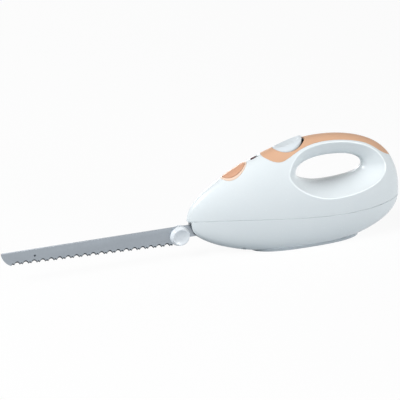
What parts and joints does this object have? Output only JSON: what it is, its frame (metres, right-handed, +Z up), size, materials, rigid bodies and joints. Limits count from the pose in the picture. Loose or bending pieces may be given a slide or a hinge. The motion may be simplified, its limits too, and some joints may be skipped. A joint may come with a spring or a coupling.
{
  "type": "electric knife",
  "caption": "Electric carving knife with a finger opening in its egg-shaped white handle, peach grip and release button, and a pair of toothed sliding blades.",
  "frame": {"origin": "centre of the foot's underside, on the table", "axes": "X along the knife with the blades towards -X, Y across, Z up"},
  "size_m": [0.4313, 0.057, 0.115],
  "materials": {
    "white_plastic": "polished injection moulding",
    "soft_peach": "soft-touch overmould",
    "pale_peach": "satin moulding",
    "maroon_plastic": "satin moulding",
    "dark_plastic": "textured moulding",
    "blade_steel": "ground and brushed lengthwise",
    "disc_white": "polished injection moulding",
    "foot_rubber": "moulded",
    "zinc_steel": "zinc plated",
    "gear_nylon": "moulded nylon",
    "frame_alloy": "die cast",
    "spring_steel": "hard drawn wire",
    "bronze": "sintered",
    "laminations": "stacked sheet",
    "copper": "enamelled wire",
    "carbon": "pressed carbon",
    "brass_case": "folded sheet",
    "black_plastic": "moulded"
  },
  "bodies": {
    "housing": {"upper_housing": "white_plastic", "lower_housing": "white_plastic", "grip_cover": "soft_peach", "base_foot": "foot_rubber", "case_screws": "zinc_steel", "foot_screws": "zinc_steel", "trigger_pivot_pin": "zinc_steel", "trigger_spring": "spring_steel", "switch_body": "black_plastic", "release_button_bezel": "pale_peach", "release_spring": "spring_steel", "release_lever_pin": "zinc_steel", "nose_guide": "dark_plastic", "slide_block": "black_plastic", "gear_axle": "zinc_steel", "gear_frame": "frame_alloy", "frame_screws": "zinc_steel", "shaft_bearings": "bronze", "rear_bearing": "bronze", "stator_core": "laminations", "motor_screws": "zinc_steel", "rear_bracket": "black_plastic", "cord_gland": "black_plastic", "suppression_capacitor": "brass_case", "terminal_block": "black_plastic", "cord_clamp": "black_plastic", "field_coil_left": "copper", "carbon_brush_left": "carbon", "brush_holder_left": "brass_case", "brush_spring_left": "spring_steel", "field_coil_right": "copper", "carbon_brush_right": "carbon", "brush_holder_right": "brass_case", "brush_spring_right": "spring_steel"},
    "rotor": {"motor_shaft": "zinc_steel", "worm": "zinc_steel", "cooling_fan": "black_plastic", "armature_core": "laminations", "armature_winding": "copper", "commutator": "copper"},
    "drive_gear": {"worm_wheel": "gear_nylon", "eccentric_left": "gear_nylon", "eccentric_right": "gear_nylon"},
    "slider_left": {"drive_slider_left": "gear_nylon", "latch_spring_left": "spring_steel"},
    "slider_right": {"drive_slider_right": "gear_nylon", "latch_spring_right": "spring_steel"},
    "left_blade": {"blade_left": "blade_steel", "blade_grip_left": "disc_white", "blade_stud": "zinc_steel"},
    "right_blade": {"blade_right": "blade_steel", "blade_grip_right": "disc_white"},
    "trigger": {"trigger_button": "white_plastic"},
    "plunger": {"switch_plunger": "gear_nylon"},
    "button": {"release_button": "soft_peach"},
    "lever": {"release_lever": "gear_nylon"},
    "catch": {"safety_catch": "maroon_plastic"}
  },
  "joints": [
    {"name": "rotor_turn", "type": "hinge", "parent": "housing", "child": "rotor", "pos_m": [0, 0, 0.037], "axis": [1, 0, 0], "range_deg": [-1980, 1980]},
    {"name": "gear_turn", "type": "hinge", "parent": "housing", "child": "drive_gear", "pos_m": [-0.04, 0, 0.0225], "axis": [0, 1, 0], "range_deg": [-90, 90]},
    {"name": "slide_left", "type": "slide", "parent": "housing", "child": "slider_left", "axis": [1, 0, 0], "range_m": [-0.003, 0.003]},
    {"name": "slide_right", "type": "slide", "parent": "housing", "child": "slider_right", "axis": [1, 0, 0], "range_m": [-0.003, 0.003]},
    {"name": "draw_left", "type": "slide", "parent": "slider_left", "child": "left_blade", "axis": [-1, 0, 0], "range_m": [0, 0.03]},
    {"name": "draw_right", "type": "slide", "parent": "slider_right", "child": "right_blade", "axis": [-1, 0, 0], "range_m": [0, 0.03]},
    {"name": "trigger_rock", "type": "hinge", "parent": "housing", "child": "trigger", "pos_m": [-0.0315, 0, 0.0932], "axis": [0, 1, 0], "range_deg": [0, 6], "stiffness_Nm_per_rad": 0.5, "deforming": ["trigger_spring"]},
    {"name": "plunger_press", "type": "slide", "parent": "housing", "child": "plunger", "axis": [0, 0, -1], "range_m": [0, 0.0016]},
    {"name": "button_press", "type": "slide", "parent": "housing", "child": "button", "axis": [0, 0, -1], "range_m": [0, 0.0035], "stiffness_N_per_m": 400, "deforming": ["release_spring"]},
    {"name": "lever_tip", "type": "hinge", "parent": "housing", "child": "lever", "pos_m": [-0.064, 0, 0.049], "axis": [0, -1, 0], "range_deg": [0, 17.9]},
    {"name": "catch_slide", "type": "slide", "parent": "housing", "child": "catch", "axis": [0.9272, 0, 0.3746], "range_m": [0, 0.0018]}
  ],
  "couplings": [
    {"joint": "gear_turn", "follows": "rotor_turn", "ratio": -0.045455},
    {"joint": "slide_left", "follows": "rotor_turn", "m_per_rad": -0.000086812},
    {"joint": "slide_right", "follows": "rotor_turn", "m_per_rad": 0.000086812},
    {"joint": "draw_right", "follows": "draw_left", "ratio": 1},
    {"joint": "plunger_press", "follows": "trigger_rock", "m_per_rad": 0.011},
    {"joint": "lever_tip", "follows": "button_press", "rad_per_m": 86.957}
  ]
}
